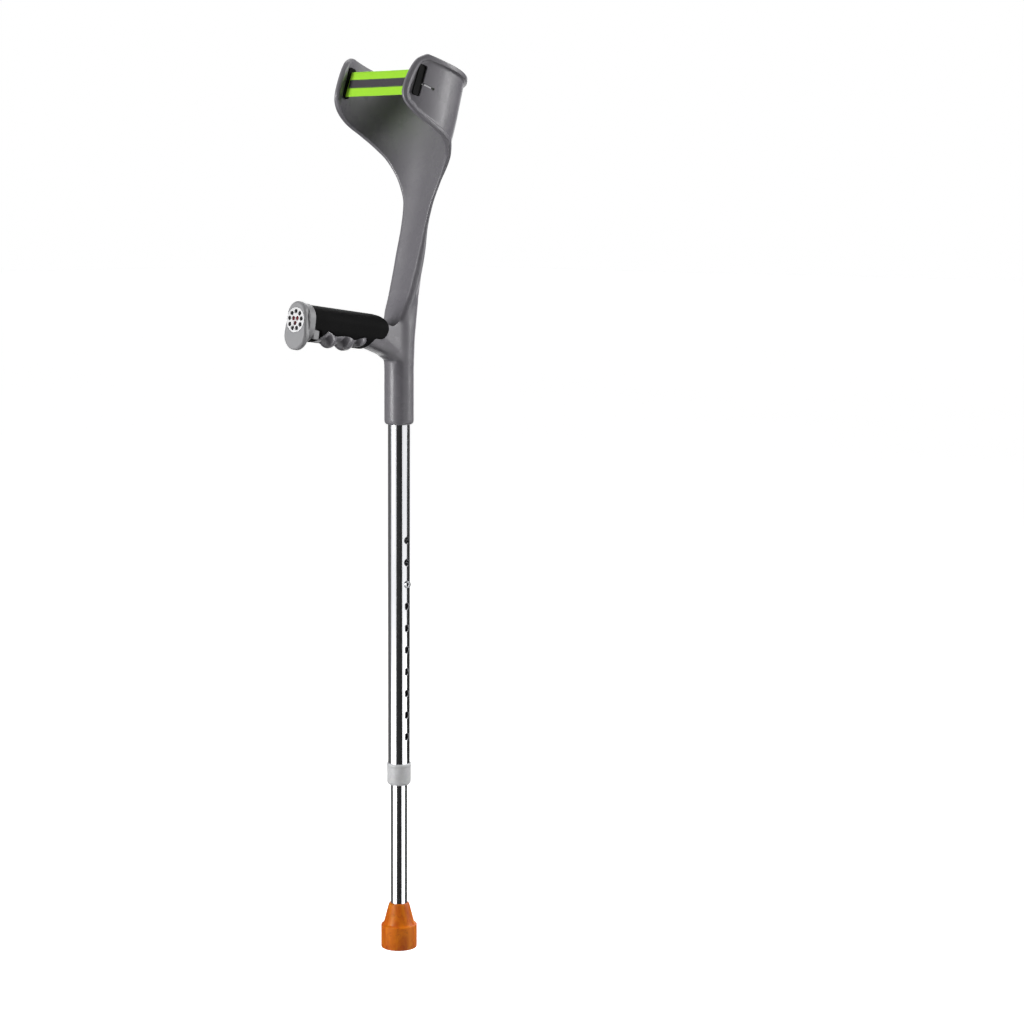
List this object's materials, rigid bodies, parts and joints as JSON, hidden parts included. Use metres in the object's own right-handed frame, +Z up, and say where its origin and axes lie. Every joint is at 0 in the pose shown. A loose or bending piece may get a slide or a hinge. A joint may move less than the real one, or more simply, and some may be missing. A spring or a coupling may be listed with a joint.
{
  "type": "forearm crutch",
  "caption": "Forearm crutch: moulded grey cuff and arm with a strap, a horizontal ribbed handle, and a telescopic metal leg with a push button and a rubber ferrule.",
  "frame": {"origin": "centre of the ferrule's flat ground face", "axes": "+Z up along the leg, -Y the way the handle points, +X the side with the height holes"},
  "size_m": [0.135, 0.2356, 1.0086],
  "materials": {
    "frame_moulding": "satin moulded",
    "grip_sleeve": "soft matte",
    "end_cap": "satin moulded",
    "end_cap_screw": "zinc plated",
    "reflector_disc": "smooth",
    "reflector_backing": "glossy",
    "strap_webbing": "woven neon webbing",
    "reflective_stripe": "woven retroreflective",
    "strap_anchor_near": "moulded",
    "strap_anchor_far": "moulded",
    "anchor_wedges": "moulded",
    "outer_tube": "bright polished",
    "tube_plug": "moulded",
    "anti_rattle_collar": "translucent",
    "inner_tube": "bright polished",
    "guide_bushing": "moulded",
    "button_spring": "spring steel",
    "ferrule": "translucent rubber",
    "ferrule_washer": "stamped",
    "snap_button": "polished dome"
  },
  "bodies": {
    "upper": {"frame_moulding": "frame_moulding", "grip_sleeve": "grip_sleeve", "end_cap": "end_cap", "end_cap_screw": "end_cap_screw", "reflector_disc": "reflector_disc", "reflector_backing": "reflector_backing", "strap_webbing": "strap_webbing", "reflective_stripe": "reflective_stripe", "strap_anchor_near": "strap_anchor_near", "strap_anchor_far": "strap_anchor_far", "anchor_wedges": "anchor_wedges", "outer_tube": "outer_tube", "tube_plug": "tube_plug", "anti_rattle_collar": "anti_rattle_collar"},
    "lower": {"inner_tube": "inner_tube", "guide_bushing": "guide_bushing", "button_spring": "button_spring", "ferrule": "ferrule", "ferrule_washer": "ferrule_washer"},
    "button": {"snap_button": "snap_button"}
  },
  "joints": [
    {"name": "leg_slide", "type": "slide", "parent": "upper", "child": "lower", "axis": [0, 0, 1], "range_m": [-0.1, 0.05]},
    {"name": "button_push", "type": "slide", "parent": "lower", "child": "button", "axis": [1, 0, 0], "range_m": [-0.006, 0], "stiffness_N_per_m": 1500, "springref_m": 0.002, "deforming": ["button_spring"]}
  ]
}
